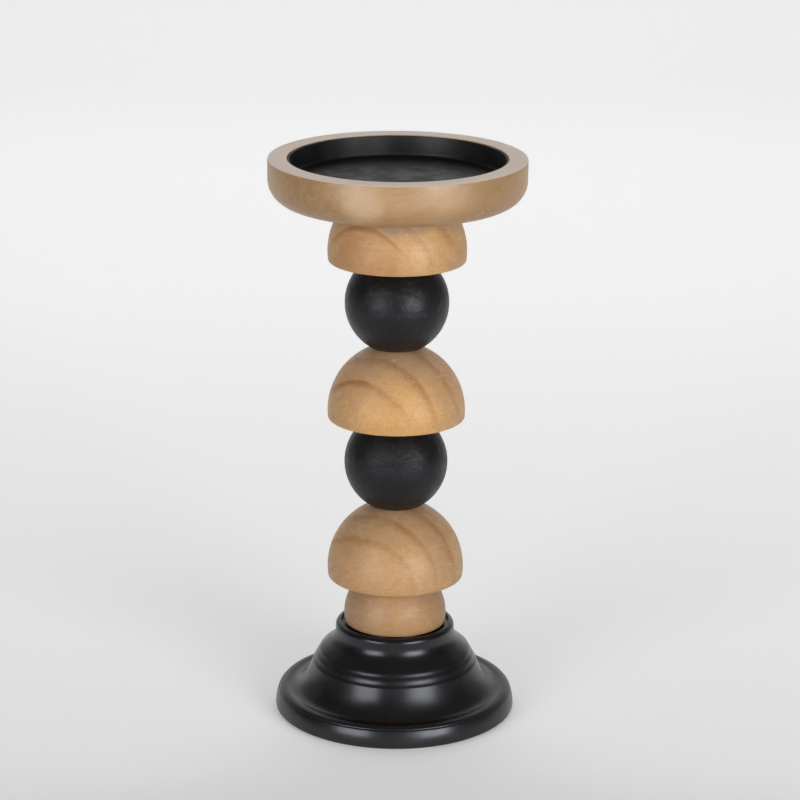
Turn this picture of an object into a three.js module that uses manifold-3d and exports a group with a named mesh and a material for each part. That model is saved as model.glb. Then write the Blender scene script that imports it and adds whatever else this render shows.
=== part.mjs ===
// Wooden candle holder: turned pieces stacked on a steel tie rod, with a lift-out steel pan in the dish.
// Millimetres, +Z up. The origin is on the table, under the middle of the foot.
import * as THREE from "three";
import { mergeVertices } from "three/addons/utils/BufferGeometryUtils.js";
import Module from "manifold-3d";

// Driving dimensions of the balls and half-domes
const BALL_DIAMETER = 50.8;
const BALL_FLAT_DEPTH = 3.8; // sanded off the lower pole of a ball, so that it seats flat
const LOWER_BALL_TOP_FLAT = 2.4; // sanded off the upper pole of the lower ball
const UPPER_BALL_TOP_FLAT = 4.3; // sanded off the upper pole of the upper ball
const DOME_DIAMETER = 67.4;
const DOME_SKIRT = 4.7; // height of a dome below its widest line
const MIDDLE_DOME_SKIRT = 3.3; // the middle dome is trimmed a little shorter
const DOME_SEAT_DEPTH = 0.8; // sanded off the crown of a dome that carries a ball
const UPPER_DOME_SEAT_DEPTH = 9.8; // cut off the crown of the dome that carries the dish
const DOME_EDGE_EASE = 1.3;
const NECK_SKIRT = 4;
const NECK_SEAT_DEPTH = 5.2; // cut off the crown of the neck, which carries the lowest dome
const NECK_EDGE_EASE = 0.5;
const SEAT_GAP = 0.05; // glue or lacquer film between two seated faces

// Driving dimensions of the base
const FOOT_DIAMETER = 119.6;
const FOOT_BAND_HEIGHT = 8.4;
const FOOT_BAND_DRAFT = 1.3; // how far the band leans in, on the radius
const FOOT_EDGE_EASE = 0.8;
const FOOT_QUIRK = 1.25; // ledge between the foot band and the nose above it, on the radius
const NOSE_RADIUS = 1;
const LOWER_COVE_REACH = 16;
const LOWER_COVE_HEIGHT = 14.25;
const LIP_REACH = 0.5; // slope between the lower cove and the beads, on the radius
const LIP_HEIGHT = 1.05;
const BEAD_REACH = 1.72; // each of the two soft beads, on the radius
const BEAD_HEIGHT = 2.55;
const BEAD_SWELL = 0.2; // how far a bead stands out of the slope that it lies on
const UPPER_COVE_REACH = 6.75;
const UPPER_COVE_HEIGHT = 9.5;
const COLLAR_HEIGHT = 4.4; // plain band under the shelf that carries the neck
const COLLAR_EDGE_EASE = 1.6;

// Driving dimensions of the dish and its pan
const DISH_DIAMETER = 124.8;
const DISH_RIM_WIDTH = 9.3;
const DISH_FLOOR = 10.2; // wood under the pan
const DISH_CORNER_RADIUS = 11.7;
const DISH_EDGE_EASE = 0.8;
const PAN_WALL = 0.8;
const PAN_DEPTH = 10.2;
const PAN_CORNER_RADIUS = 2;
const PAN_CLEARANCE = 0.3; // all round, so that the pan lifts out
const PAN_RIM_DROP = 0.5; // how far the pan's edge lies below the wooden rim

// Driving dimensions of the tie rod and its hardware
const ROD_DIAMETER = 6;
const ROD_END_CHAMFER = 0.7;
const BORE_CLEARANCE = 0.5; // between the rod and the wood, on the radius
const THREAD_CLEARANCE = 0.15; // between the rod and the nuts and washers, on the radius
const NUT_ACROSS_FLATS = 10;
const NUT_CHAMFER = 0.5;
const FOOT_NUT_HEIGHT = 5;
const DISH_NUT_HEIGHT = 3.2;
const WASHER_DIAMETER = 18;
const WASHER_THICKNESS = 1.6;
const LOCK_WASHER_DIAMETER = 11.8;
const LOCK_WASHER_THICKNESS = 1.6;
const LOCK_WASHER_SLIT = 0.8;
const POCKET_CLEARANCE = 2; // round a washer in its pocket, on the radius
const DISH_THREAD_SHOWING = 0.8; // rod past the dish nut
const DISH_POCKET_SPARE = 0.6; // between the end of the rod and the pan
const FOOT_THREAD_SHOWING = 2; // rod past the foot nut
const FOOT_POCKET_SPARE = 3.6; // between the end of the rod and the mouth of the pocket

// Driving dimensions of the felt ring under the foot
const FELT_THICKNESS = 2;
const FELT_PROUD = 0.8; // how far the felt stands below the foot
const FELT_MARGIN = 8; // wood left outside the felt
const FELT_HOLE_MARGIN = 2; // felt held back from the mouth of the pocket
const FELT_CLEARANCE = 0.3; // round the felt in its recess

// How finely round shapes are faceted
const TURNED_SIDES = 40;
const HARDWARE_SIDES = 24;
const LONG_ARC_STEPS = 8;
const SHORT_ARC_STEPS = 2;
const QUARTER = Math.PI / 2;

// Finishes
const NATURAL_WOOD = { color: 0xc8965e, roughness: 0.55, metalness: 0 };
const LIMED_WOOD = { color: 0xb89c78, roughness: 0.45, metalness: 0 };
const BLACK_STAIN = { color: 0x242326, roughness: 0.5, metalness: 0 };
const BLACK_LACQUER = { color: 0x1b1b1d, roughness: 0.3, metalness: 0 };
const BLACK_ENAMEL = { color: 0x222326, roughness: 0.35, metalness: 0 };
const ZINC_STEEL = { color: 0xb9bdc2, roughness: 0.35, metalness: 1 };
const GREY_FELT = { color: 0x3a3a3c, roughness: 0.95, metalness: 0 };

// Sizes of the balls, half-domes and hardware that follow from the driving dimensions
const ballRadius = BALL_DIAMETER / 2;
const lowerBallHeight = BALL_DIAMETER - BALL_FLAT_DEPTH - LOWER_BALL_TOP_FLAT;
const upperBallHeight = BALL_DIAMETER - BALL_FLAT_DEPTH - UPPER_BALL_TOP_FLAT;
const domeRadius = DOME_DIAMETER / 2;
const lowerDomeHeight = DOME_SKIRT + domeRadius - DOME_SEAT_DEPTH;
const middleDomeHeight = MIDDLE_DOME_SKIRT + domeRadius - DOME_SEAT_DEPTH;
const upperDomeHeight = DOME_SKIRT + domeRadius - UPPER_DOME_SEAT_DEPTH;
const neckHeight = NECK_SKIRT + ballRadius - NECK_SEAT_DEPTH;
const rodRadius = ROD_DIAMETER / 2;
const boreRadius = rodRadius + BORE_CLEARANCE;
const ringBoreRadius = rodRadius + THREAD_CLEARANCE;
const washerRadius = WASHER_DIAMETER / 2;
const pocketRadius = washerRadius + POCKET_CLEARANCE;

// Heights and radii of the base, from the table up
const footRadius = FOOT_DIAMETER / 2;
const feltRadius = footRadius - FELT_MARGIN - FELT_CLEARANCE;
const feltHoleRadius = pocketRadius + FELT_HOLE_MARGIN;
const feltRecessTop = FELT_THICKNESS + SEAT_GAP;
const rodBottom = FELT_PROUD + FOOT_POCKET_SPARE;
const footNutBottom = rodBottom + FOOT_THREAD_SHOWING;
const lockWasherBottom = footNutBottom + FOOT_NUT_HEIGHT + SEAT_GAP;
const footWasherBottom = lockWasherBottom + LOCK_WASHER_THICKNESS + SEAT_GAP;
const footPocketTop = footWasherBottom + WASHER_THICKNESS + SEAT_GAP;
const bandTop = FELT_PROUD + FOOT_BAND_HEIGHT;
const bandTopRadius = footRadius - FOOT_BAND_DRAFT;
const noseRadius = bandTopRadius - FOOT_QUIRK;
const lowerCoveBottom = bandTop + 2 * NOSE_RADIUS;
const lowerCoveRadius = noseRadius - NOSE_RADIUS;
const beadsBottom = lowerCoveBottom + LOWER_COVE_HEIGHT + LIP_HEIGHT;
const beadsRadius = lowerCoveRadius - LOWER_COVE_REACH - LIP_REACH;
const upperCoveBottom = beadsBottom + 2 * BEAD_HEIGHT;
const upperCoveRadius = beadsRadius - 2 * BEAD_REACH;
const collarRadius = upperCoveRadius - UPPER_COVE_REACH;
const baseTop = upperCoveBottom + UPPER_COVE_HEIGHT + COLLAR_HEIGHT;

// Sizes of the dish and its pan, from the underside of the dish up
const dishRadius = DISH_DIAMETER / 2;
const recessRadius = dishRadius - DISH_RIM_WIDTH;
const panRadius = recessRadius - PAN_CLEARANCE;
const panHeight = PAN_WALL + PAN_DEPTH;
const panBottom = DISH_FLOOR + SEAT_GAP;
const dishHeight = panBottom + panHeight + PAN_RIM_DROP;
const rodTop = DISH_FLOOR - DISH_POCKET_SPARE;
const dishNutBottom = rodTop - DISH_THREAD_SHOWING - DISH_NUT_HEIGHT;
const dishWasherBottom = dishNutBottom - SEAT_GAP - WASHER_THICKNESS;
const dishPocketFloor = dishWasherBottom - SEAT_GAP;

const wasm = await Module();
wasm.setup();

// A point of a turned outline: its distance from the axis and its height
function at(radius, height) {
  return new THREE.Vector2(radius, height);
}

// The points of an arc of an outline, anticlockwise unless its last angle is the smaller one
function arc(radius, height, size, from, to, steps, tall = size) {
  return new THREE.EllipseCurve(radius, height, size, tall, from, to, to < from).getPoints(steps);
}

// Turns an outline about the vertical axis. One that doesn't start on the axis is closed to a ring.
function turned(outline, sides = TURNED_SIDES) {
  const points = outline[0].x > 0 ? [...outline, outline[0]] : outline;
  return new THREE.LatheGeometry(points, sides).rotateX(QUARTER);
}

// A slice of a ball, bored for the rod, with a flat seat above and below and an eased lower edge
function ballSlice(radius, skirt, height, ease) {
  const easeRadius = Math.sqrt((radius - ease) ** 2 - (ease - skirt) ** 2);
  const easeEnd = Math.atan2(ease - skirt, easeRadius);
  const seatAngle = Math.asin((height - skirt) / radius);
  return turned([
    at(boreRadius, 0),
    ...arc(easeRadius, ease, ease, -QUARTER, easeEnd, SHORT_ARC_STEPS),
    ...arc(0, skirt, radius, easeEnd, seatAngle, LONG_ARC_STEPS).slice(1),
    at(boreRadius, height),
  ]);
}

// A bored ball with both poles sanded flat
function ball(height) {
  const middle = ballRadius - BALL_FLAT_DEPTH;
  const lowerSeat = -Math.asin(middle / ballRadius);
  const upperSeat = Math.asin((height - middle) / ballRadius);
  return turned([
    at(boreRadius, 0),
    ...arc(0, middle, ballRadius, lowerSeat, upperSeat, LONG_ARC_STEPS + SHORT_ARC_STEPS),
    at(boreRadius, height),
  ]);
}

// A hollow sweep that leaves a ledge at its outer end and climbs until it is upright, reach further in
function cove(radius, height, reach, rise) {
  const size = (reach ** 2 + rise ** 2) / (2 * reach);
  const sweep = Math.atan2(rise, size - reach);
  return arc(radius - reach + size, height + rise, size, Math.PI + sweep, Math.PI, LONG_ARC_STEPS);
}

// A quarter of an oval, hollowed out from level at its lower end to upright at its upper one
function hollow(radius, height, reach, rise) {
  return arc(radius, height + rise, reach, 3 * QUARTER, 2 * QUARTER, LONG_ARC_STEPS, rise);
}

// A half-round nose, size high to its middle, that stands out to a radius
function nose(radius, height, size) {
  return arc(radius - size, height + size, size, -QUARTER, QUARTER, SHORT_ARC_STEPS + 1);
}

// A soft bead on a slope, from its lower end up and in
function softBead(radius, height) {
  const foot = at(radius, height);
  const slope = at(-BEAD_REACH, BEAD_HEIGHT);
  const outward = at(BEAD_HEIGHT, BEAD_REACH).setLength(2 * BEAD_SWELL);
  const crown = foot.clone().addScaledVector(slope, 0.5).add(outward);
  return new THREE.QuadraticBezierCurve(foot, crown, foot.clone().add(slope)).getPoints(SHORT_ARC_STEPS + 1);
}

// A quarter-round that eases the upper outer edge of a band
function easedTop(radius, height, size) {
  return arc(radius - size, height - size, size, 0, QUARTER, SHORT_ARC_STEPS);
}

// A quarter-round that eases the lower outer edge of a band
function easedBottom(radius, height, size, steps = SHORT_ARC_STEPS) {
  return arc(radius - size, height + size, size, -QUARTER, 0, steps);
}

// The turned base, with a recess for the felt and a pocket for the foot nut in its underside
function base() {
  const recessEdge = feltRadius + FELT_CLEARANCE;
  return turned([
    at(boreRadius, footPocketTop),
    at(pocketRadius, footPocketTop),
    at(pocketRadius, feltRecessTop),
    at(recessEdge, feltRecessTop),
    at(recessEdge, FELT_PROUD),
    ...easedBottom(footRadius, FELT_PROUD, FOOT_EDGE_EASE),
    ...easedTop(bandTopRadius, bandTop, FOOT_EDGE_EASE),
    ...nose(noseRadius, bandTop, NOSE_RADIUS),
    ...hollow(lowerCoveRadius, lowerCoveBottom, LOWER_COVE_REACH, LOWER_COVE_HEIGHT).slice(1),
    ...softBead(beadsRadius, beadsBottom),
    ...softBead(beadsRadius - BEAD_REACH, beadsBottom + BEAD_HEIGHT).slice(1),
    ...cove(upperCoveRadius, upperCoveBottom, UPPER_COVE_REACH, UPPER_COVE_HEIGHT).slice(1),
    ...easedTop(collarRadius, baseTop, COLLAR_EDGE_EASE),
    at(boreRadius, baseTop),
  ]);
}

// The turned dish, with a recess for the pan and a pocket for the dish nut in the recess floor
function dish() {
  const cornerRadius = Math.min(DISH_CORNER_RADIUS, dishHeight - DISH_EDGE_EASE);
  return turned([
    at(boreRadius, 0),
    ...easedBottom(dishRadius, 0, cornerRadius, LONG_ARC_STEPS),
    ...easedTop(dishRadius, dishHeight, DISH_EDGE_EASE),
    at(recessRadius, dishHeight),
    at(recessRadius, DISH_FLOOR),
    at(pocketRadius, DISH_FLOOR),
    at(pocketRadius, dishPocketFloor),
    at(boreRadius, dishPocketFloor),
  ]);
}

// The pressed steel pan that the candle stands in
function pan() {
  const innerRadius = panRadius - PAN_WALL;
  const innerCorner = easedBottom(innerRadius, PAN_WALL, PAN_CORNER_RADIUS);
  return turned([
    at(0, 0),
    ...easedBottom(panRadius, 0, PAN_CORNER_RADIUS + PAN_WALL),
    at(panRadius, panHeight),
    at(innerRadius, panHeight),
    ...innerCorner.reverse(),
    at(0, PAN_WALL),
  ]);
}

function feltRing() {
  return turned([
    at(feltHoleRadius, 0),
    at(feltRadius, 0),
    at(feltRadius, FELT_THICKNESS),
    at(feltHoleRadius, FELT_THICKNESS),
  ]);
}

// The tie rod, as long as the stack between its two nuts asks for
function rod(length) {
  const endRadius = rodRadius - ROD_END_CHAMFER;
  return turned([
    at(0, 0),
    at(endRadius, 0),
    at(rodRadius, ROD_END_CHAMFER),
    at(rodRadius, length - ROD_END_CHAMFER),
    at(endRadius, length),
    at(0, length),
  ], HARDWARE_SIDES);
}

function washer() {
  return turned([
    at(ringBoreRadius, 0),
    at(washerRadius, 0),
    at(washerRadius, WASHER_THICKNESS),
    at(ringBoreRadius, WASHER_THICKNESS),
  ], HARDWARE_SIDES);
}

// A spring washer, pressed flat: a ring that is cut through once
function lockWasher() {
  const outerRadius = LOCK_WASHER_DIAMETER / 2;
  const outerSlit = Math.asin(LOCK_WASHER_SLIT / 2 / outerRadius);
  const innerSlit = Math.asin(LOCK_WASHER_SLIT / 2 / ringBoreRadius);
  const fullTurn = 4 * QUARTER;
  const outline = new THREE.Shape();
  outline.absarc(0, 0, outerRadius, outerSlit, fullTurn - outerSlit, false);
  outline.absarc(0, 0, ringBoreRadius, fullTurn - innerSlit, innerSlit, true);
  return extruded(outline, LOCK_WASHER_THICKNESS);
}

function extruded(shape, depth) {
  const curveSegments = HARDWARE_SIDES / 2;
  return new THREE.ExtrudeGeometry(shape, { depth, bevelEnabled: false, curveSegments });
}

// A hexagon nut whose corners are chamfered at both ends
function nut(height) {
  const cornerRadius = NUT_ACROSS_FLATS / 2 / Math.cos(Math.PI / 6);
  const corners = Array.from({ length: 6 }, (_, side) => {
    const angle = side * Math.PI / 3;
    return at(cornerRadius * Math.cos(angle), cornerRadius * Math.sin(angle));
  });
  const hexagon = new THREE.Shape(corners);
  hexagon.holes.push(new THREE.Path().absarc(0, 0, ringBoreRadius, 0, 4 * QUARTER, true));
  const faceRadius = NUT_ACROSS_FLATS / 2;
  const clearRadius = cornerRadius / Math.cos(Math.PI / HARDWARE_SIDES);
  const doubleCone = turned([
    at(0, 0),
    at(faceRadius, 0),
    at(clearRadius, NUT_CHAMFER),
    at(clearRadius, height - NUT_CHAMFER),
    at(faceRadius, height),
    at(0, height),
  ], HARDWARE_SIDES);
  return common(extruded(hexagon, height), doubleCone);
}

function solid(geometry) {
  const bare = geometry.clone();
  bare.deleteAttribute("normal");
  bare.deleteAttribute("uv");
  const merged = mergeVertices(bare);
  const vertProperties = new Float32Array(merged.attributes.position.array);
  const triVerts = new Uint32Array(merged.index.array);
  return new wasm.Manifold(new wasm.Mesh({ numProp: 3, vertProperties, triVerts }));
}

// What two closed shapes have in common
function common(first, second) {
  const mesh = solid(first).intersect(solid(second)).getMesh();
  const geometry = new THREE.BufferGeometry();
  geometry.setAttribute("position", new THREE.BufferAttribute(mesh.vertProperties, 3));
  geometry.setIndex(new THREE.BufferAttribute(mesh.triVerts, 1));
  geometry.computeVertexNormals();
  return geometry;
}

const candleHolder = new THREE.Group();

function place(name, geometry, finish, height) {
  const mesh = new THREE.Mesh(geometry, new THREE.MeshStandardMaterial(finish));
  mesh.name = name;
  mesh.position.z = height;
  candleHolder.add(mesh);
}

place("felt_ring", feltRing(), GREY_FELT, 0);
place("base", base(), BLACK_LACQUER, 0);

// The stack, from the shelf of the base up: each piece seats on the one before
const dome = (skirt, height) => ballSlice(domeRadius, skirt, height, DOME_EDGE_EASE);
const stack = [
  ["neck_half_dome", ballSlice(ballRadius, NECK_SKIRT, neckHeight, NECK_EDGE_EASE), NATURAL_WOOD, neckHeight],
  ["lower_half_dome", dome(DOME_SKIRT, lowerDomeHeight), NATURAL_WOOD, lowerDomeHeight],
  ["lower_ball", ball(lowerBallHeight), BLACK_STAIN, lowerBallHeight],
  ["middle_half_dome", dome(MIDDLE_DOME_SKIRT, middleDomeHeight), NATURAL_WOOD, middleDomeHeight],
  ["upper_ball", ball(upperBallHeight), BLACK_STAIN, upperBallHeight],
  ["upper_half_dome", dome(DOME_SKIRT, upperDomeHeight), NATURAL_WOOD, upperDomeHeight],
];
let seat = baseTop + SEAT_GAP;
for (const [name, geometry, finish, height] of stack) {
  place(name, geometry, finish, seat);
  seat += height + SEAT_GAP;
}

// The dish on top of the stack, and what lies in it
const dishBottom = seat;
place("candle_dish", dish(), LIMED_WOOD, dishBottom);
place("dish_washer", washer(), ZINC_STEEL, dishBottom + dishWasherBottom);
place("dish_nut", nut(DISH_NUT_HEIGHT), ZINC_STEEL, dishBottom + dishNutBottom);
place("drip_pan", pan(), BLACK_ENAMEL, dishBottom + panBottom);

// The tie rod, and what clamps it under the base
place("tie_rod", rod(dishBottom + rodTop - rodBottom), ZINC_STEEL, rodBottom);
place("foot_washer", washer(), ZINC_STEEL, footWasherBottom);
place("foot_lock_washer", lockWasher(), ZINC_STEEL, lockWasherBottom);
place("foot_nut", nut(FOOT_NUT_HEIGHT), ZINC_STEEL, footNutBottom);

export default candleHolder;
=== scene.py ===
# %% [markdown]
# # A turned wooden candle holder
# This lesson dresses a candle holder that is already built as a CAD model. The CAD solids
# are faceted, so each turned piece is made again here with a fine surface, in the same place
# and at the same size, and gets a finish made of shader nodes. Everything is in metres, with
# Z up and the origin on the table, under the middle of the foot.

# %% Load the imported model
import math

import bpy
from mathutils import Euler, Matrix, Vector


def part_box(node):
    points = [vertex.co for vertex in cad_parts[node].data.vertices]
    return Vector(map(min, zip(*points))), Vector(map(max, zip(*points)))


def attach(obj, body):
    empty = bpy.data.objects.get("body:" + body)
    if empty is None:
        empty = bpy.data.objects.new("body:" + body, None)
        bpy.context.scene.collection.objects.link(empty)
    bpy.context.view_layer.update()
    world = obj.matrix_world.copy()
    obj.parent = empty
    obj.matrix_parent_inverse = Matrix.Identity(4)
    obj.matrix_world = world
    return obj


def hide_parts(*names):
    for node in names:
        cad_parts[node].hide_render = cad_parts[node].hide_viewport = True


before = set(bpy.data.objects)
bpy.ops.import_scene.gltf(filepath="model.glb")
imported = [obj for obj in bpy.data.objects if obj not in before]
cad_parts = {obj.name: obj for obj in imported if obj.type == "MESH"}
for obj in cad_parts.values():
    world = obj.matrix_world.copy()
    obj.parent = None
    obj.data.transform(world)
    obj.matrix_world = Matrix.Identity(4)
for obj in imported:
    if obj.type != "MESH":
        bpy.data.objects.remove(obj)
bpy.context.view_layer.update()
print("pieces in the frame:", ", ".join(sorted(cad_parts)))

# %% [markdown]
# ## Outlines
# A turned piece is a flat outline spun about an axis. An outline is a list of points, each a
# distance from the axis and a height. Round stretches are arcs, cut finely enough that no
# facet shows. Sharp corners never survive sanding and lacquer, so a second helper rounds them.

# %% Outline helpers
MM = 0.001
ARC_STEP = 0.45 * MM
LEAST_ARC_STEPS = 4


def arc(radius, height, size, first, last, tall=None):
    """Points of an arc about (radius, height), between angles in degrees; an oval if tall is given."""
    tall = size if tall is None else tall
    sweep = math.radians(last - first)
    steps = max(LEAST_ARC_STEPS, math.ceil(abs(sweep * size) / ARC_STEP))
    angles = [math.radians(first) + sweep * i / steps for i in range(steps + 1)]
    return [(radius + size * math.cos(a), height + tall * math.sin(a)) for a in angles]


def eased(corners):
    """Rounds the corners of an outline. A corner is (radius, height) or (radius, height, rounding)."""
    points = [Vector((c[0], c[1])) for c in corners]
    outline = [tuple(points[0])]
    for before, here, after, corner in zip(points, points[1:], points[2:], corners[1:]):
        size = corner[2] if len(corner) > 2 else 0
        if size == 0:
            outline.append(tuple(here))
            continue
        inward, onward = (before - here).normalized(), (after - here).normalized()
        half = inward.angle(onward) / 2
        centre = here + (inward + onward).normalized() * size / math.sin(half)
        start = here + inward * size / math.tan(half) - centre
        turn = start.angle_signed(here + onward * size / math.tan(half) - centre)
        first = math.degrees(math.atan2(start.y, start.x))
        outline += arc(centre.x, centre.y, size, first, first - math.degrees(turn))
    return outline + [tuple(points[-1])]


def heights(node):
    """The lowest and highest height of a CAD node."""
    low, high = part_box(node)
    return low.z, high.z


print("a quarter circle of 10 mm takes", len(arc(0, 0, 10 * MM, 0, 90)), "points")

# %% [markdown]
# ## Small helpers for node trees
# Geometry and shader trees are built the same way: add a node, set its options, then give
# each input a value or a link from another node's output.

# %% Node helpers


def give(tree, socket, value):
    """Links an output socket to an input, or sets the input to a plain value."""
    if isinstance(value, bpy.types.NodeSocket):
        tree.links.new(value, socket)
    else:
        socket.default_value = value


def add(tree, kind, inputs=None, **options):
    """Adds a node with options, and gives each named input its value or link."""
    made = tree.nodes.new(kind)
    for name, value in options.items():
        setattr(made, name, value)
    for name, value in (inputs or {}).items():
        give(tree, made.inputs[name], value)
    return made


def calculate(tree, operation, first, second=0.0, clamp=False):
    """A math node on two values or sockets; returns its output."""
    made = add(tree, "ShaderNodeMath", {0: first, 1: second}, operation=operation, use_clamp=clamp)
    return made.outputs[0]


def total(tree, *parts):
    """Adds up sockets, each times its own weight."""
    result = 0.0
    for socket, weight in parts:
        made = add(tree, "ShaderNodeMath", {0: socket, 1: weight, 2: result}, operation="MULTIPLY_ADD")
        result = made.outputs[0]
    return result


def declare(tree, inputs, outputs):
    """Names the inputs and outputs of a node group and returns its two end nodes."""
    for name, kind, value in inputs:
        socket = tree.interface.new_socket(name, in_out="INPUT", socket_type="NodeSocket" + kind)
        if value is not None:
            socket.default_value = value
    for name, kind in outputs:
        tree.interface.new_socket(name, in_out="OUTPUT", socket_type="NodeSocket" + kind)
    return tree.nodes.new("NodeGroupInput"), tree.nodes.new("NodeGroupOutput")


# %% [markdown]
# ## A lathe in Geometry Nodes
# Blender's Screw modifier could spin an outline, but a node tree shows the rule itself: lay
# out a grid with one column for each side and one row for each outline point, then move every
# grid point to its outline point, turned by its share of a full circle. The seam is merged,
# and edges that turn sharply stay sharp while the rest is shaded smooth.

# %% The lathe tree
SHARP_TURN = math.radians(32)
SEAM_GAP = 0.001 * MM


def spun_grid(tree, sides, rows):
    """A grid with its row number, and its column as a share of a full turn."""
    columns = calculate(tree, "ADD", sides, 1)
    grid = add(tree, "GeometryNodeMeshGrid", {"Vertices X": columns, "Vertices Y": rows}).outputs["Mesh"]
    index = add(tree, "GeometryNodeInputIndex").outputs[0]
    row = calculate(tree, "FLOORED_MODULO", index, rows)
    column = calculate(tree, "FLOOR", calculate(tree, "DIVIDE", index, rows))
    return grid, row, calculate(tree, "DIVIDE", column, sides)


def wrapped(tree, grid, flat_place, turn):
    """Moves a grid's points to a place in the XZ plane, turned about Z, and closes the seam."""
    angle = calculate(tree, "MULTIPLY", turn, 2 * math.pi)
    spin = {"Vector": flat_place, "Angle": angle}
    place = add(tree, "ShaderNodeVectorRotate", spin, rotation_type="Z_AXIS").outputs[0]
    moved = add(tree, "GeometryNodeSetPosition", {"Geometry": grid, "Position": place}).outputs[0]
    merged = add(tree, "GeometryNodeMergeByDistance", {"Geometry": moved, "Distance": SEAM_GAP})
    return merged.outputs[0]


def finished(tree, geometry, material, result):
    """Ends a tree: makes instances real and sets the material."""
    real = add(tree, "GeometryNodeRealizeInstances", {"Geometry": geometry}).outputs[0]
    painted = add(tree, "GeometryNodeSetMaterial", {"Geometry": real, "Material": material})
    tree.links.new(painted.outputs[0], result.inputs[0])


def lathe_tree():
    tree = bpy.data.node_groups.new("Lathe", "GeometryNodeTree")
    inputs = [("Outline", "Geometry", None), ("Sides", "Int", 96), ("Material", "Material", None)]
    given, result = declare(tree, inputs, [("Turned", "Geometry")])
    outline = given.outputs["Outline"]
    size = add(tree, "GeometryNodeAttributeDomainSize", {"Geometry": outline}, component="MESH")
    grid, row, turn = spun_grid(tree, given.outputs["Sides"], size.outputs[0])
    place = add(tree, "GeometryNodeInputPosition").outputs[0]
    from_outline = {"Geometry": outline, "Value": place, "Index": row}
    sample = add(tree, "GeometryNodeSampleIndex", from_outline, data_type="FLOAT_VECTOR", domain="POINT")
    merged = wrapped(tree, grid, sample.outputs[0], turn)
    smooth = add(tree, "GeometryNodeSetShadeSmooth", {"Geometry": merged}, domain="FACE").outputs[0]
    bend = add(tree, "GeometryNodeInputMeshEdgeAngle").outputs["Unsigned Angle"]
    limit = {0: bend, 1: SHARP_TURN}
    sharp = add(tree, "FunctionNodeCompare", limit, data_type="FLOAT", operation="GREATER_THAN")
    crisp = {"Geometry": smooth, "Selection": sharp.outputs[0], "Shade Smooth": False}
    edges = add(tree, "GeometryNodeSetShadeSmooth", crisp, domain="EDGE").outputs[0]
    finished(tree, edges, given.outputs["Material"], result)
    return tree


LATHE = lathe_tree()
print("lathe tree:", len(LATHE.nodes), "nodes")

# %% [markdown]
# ## From a tree to a finished piece
# A Geometry Nodes result lives only in the modifier, so each piece is turned into a plain
# mesh. The CAD node it stands for is then hidden, and the piece moves with its body.

# %% Piece helpers


def set_input(modifier, name, value):
    """Sets a modifier's input by the identifier of the socket that has this name."""
    for socket in modifier.node_group.interface.items_tree:
        if socket.in_out == "INPUT" and socket.name == name:
            modifier[socket.identifier] = value


def baked(obj, tree, **values):
    """Runs a node tree on an object and keeps the result as its plain mesh."""
    modifier = obj.modifiers.new(tree.name, "NODES")
    modifier.node_group = tree
    for name, value in values.items():
        set_input(modifier, name.replace("_", " "), value)
    evaluated = obj.evaluated_get(bpy.context.evaluated_depsgraph_get())
    mesh = bpy.data.meshes.new_from_object(evaluated)
    obj.modifiers.clear()
    obj.data = mesh
    mesh.name = obj.name


def stand_for(piece, node, body="holder"):
    """Hides the CAD node that a piece replaces, and puts the piece on a body."""
    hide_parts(node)
    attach(piece, body)


def turned(name, node, outline, material, sides=192, body="holder"):
    """Spins a closed outline into a piece that stands for a CAD node."""
    mesh = bpy.data.meshes.new(name)
    points = [(radius, 0, height) for radius, height in outline + outline[:1]]
    mesh.from_pydata(points, [(i, i + 1) for i in range(len(points) - 1)], [])
    piece = bpy.data.objects.new(name, mesh)
    bpy.context.scene.collection.objects.link(piece)
    baked(piece, LATHE, Sides=sides, Material=material)
    stand_for(piece, node, body)
    print(f"{name}: {len(piece.data.polygons)} faces, {len(outline)} points in its outline")


# %% [markdown]
# ## Shared effects
# Several finishes need the same effects: growth rings, fibres, soft clouds of tone, turning
# marks, small scuffs and single patches. Each is a shader node group that gives out values
# between 0 and 1, so that every finish can use it with its own strength and its own colours.

# %% Shader helpers


def shader_group(name, inputs, outputs):
    tree = bpy.data.node_groups.new(name, "ShaderNodeTree")
    given, result = declare(tree, inputs, outputs)
    return tree, given.outputs, result.inputs


def vector_math(tree, operation, first, second=(0, 0, 0)):
    return add(tree, "ShaderNodeVectorMath", {0: first, 1: second}, operation=operation).outputs


def stretch(tree, vector, factors):
    """Scales a coordinate along each of its axes."""
    return vector_math(tree, "MULTIPLY", vector, factors)[0]


def distance_from_axis(tree, vector):
    return vector_math(tree, "LENGTH", stretch(tree, vector, (1, 1, 0)))["Value"]


def noise(tree, vector, scale, detail=2.0, roughness=0.5):
    """Noise of a given scale, in cells per metre."""
    settings = {"Vector": vector, "Scale": scale, "Detail": detail, "Roughness": roughness}
    return add(tree, "ShaderNodeTexNoise", settings).outputs


def spread(tree, value, low, high, new_low=0.0, new_high=1.0):
    """Maps a range of values to a new one, softly, and clamps it."""
    settings = {"Value": value, "From Min": low, "From Max": high, "To Min": new_low, "To Max": new_high}
    return add(tree, "ShaderNodeMapRange", settings, interpolation_type="SMOOTHSTEP").outputs["Result"]


def ramp(tree, value, stops):
    """A grey ramp through (position, brightness) stops."""
    made = add(tree, "ShaderNodeValToRGB", {"Fac": value})
    elements = made.color_ramp.elements
    while len(elements) < len(stops):
        elements.new(1.0)
    for element, (position, brightness) in zip(elements, stops):
        element.position = position
        element.color = (brightness, brightness, brightness, 1)
    return made.outputs["Color"]


def blend(tree, factor, first, second, mode="MIX"):
    """Mixes two colours."""
    made = add(tree, "ShaderNodeMix", data_type="RGBA", blend_type=mode)
    for socket, value in zip((made.inputs[0], made.inputs[6], made.inputs[7]), (factor, first, second)):
        give(tree, socket, value)
    return made.outputs[2]


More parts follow.
